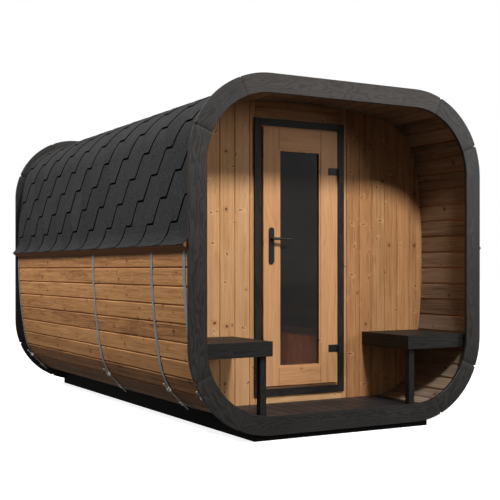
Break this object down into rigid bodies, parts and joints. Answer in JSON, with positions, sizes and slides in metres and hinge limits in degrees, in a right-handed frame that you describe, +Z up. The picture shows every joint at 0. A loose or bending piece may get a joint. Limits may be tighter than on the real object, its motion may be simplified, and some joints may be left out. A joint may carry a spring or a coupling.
{
  "type": "outdoor cabin sauna",
  "caption": "Outdoor cabin sauna of timber staves with rounded corners, a shingled roof, black end trims, steel bands, and an open porch with benches and a glazed door.",
  "frame": {"origin": "on the ground under the middle of the cabin's bounding box", "axes": "+X to the right seen from the porch, +Y from the porch to the back wall, +Z up"},
  "size_m": [2.284, 3.61, 2.232],
  "materials": {
    "black_stain": "matt black stain with the grain showing",
    "stave_wood": "oiled softwood, honey brown",
    "wall_wood": "oiled softwood, honey brown",
    "door_wood": "planed softwood, a little paler",
    "shingle": "bitumen shingle with grey granules",
    "batten_wood": "sawn softwood",
    "tinted_glass": "dark tinted safety glass",
    "black_metal": "satin black",
    "deck_stain": "dark brown stain",
    "zinc_steel": "zinc-coated steel, bluish grey"
  },
  "bodies": {
    "cabin": {"front_trim_boards": "black_stain", "front_trim_corners": "black_stain", "back_trim_boards": "black_stain", "back_trim_corners": "black_stain", "surround_posts": "black_stain", "surround_rails": "black_stain", "bench_seats": "black_stain", "bench_edges": "black_stain", "bench_legs": "black_stain", "base_beams": "black_stain", "base_crossbeams": "black_stain", "shell_floor": "stave_wood", "shell_ceiling": "stave_wood", "shell_wall_left": "stave_wood", "shell_wall_right": "stave_wood", "shell_corner_lower_left": "stave_wood", "shell_corner_lower_right": "stave_wood", "shell_corner_upper_left": "stave_wood", "shell_corner_upper_right": "stave_wood", "front_wall_left": "wall_wood", "front_wall_right": "wall_wood", "front_wall_over_door": "wall_wood", "front_wall_under_door": "wall_wood", "back_wall": "wall_wood", "room_floor": "wall_wood", "room_bench_seat": "wall_wood", "room_bench_front": "wall_wood", "door_jamb_sides": "door_wood", "door_jamb_ends": "door_wood", "roof_top": "shingle", "roof_corners": "shingle", "roof_skirts": "shingle", "eave_battens": "batten_wood", "hinge_posts": "black_metal", "porch_deck": "deck_stain", "floor_joists": "deck_stain", "steel_bands": "zinc_steel", "band_tensioners": "zinc_steel"},
    "door": {"door_stiles": "door_wood", "door_rails": "door_wood", "door_glass": "tinted_glass", "glazing_beads": "door_wood", "handle_plates": "black_metal", "hinge_straps": "black_metal"},
    "lever": {"lever_handle": "black_metal"}
  },
  "joints": [
    {"name": "door_swing", "type": "hinge", "parent": "cabin", "child": "door", "pos_m": [0.304, -1.269, 1], "axis": [0, 0, 1], "range_deg": [0, 100]},
    {"name": "lever_turn", "type": "hinge", "parent": "door", "child": "lever", "pos_m": [-0.237, -1.238, 1.246], "axis": [0, 1, 0], "range_deg": [0, 40], "stiffness_Nm_per_rad": 2, "springref_deg": -20.05}
  ]
}
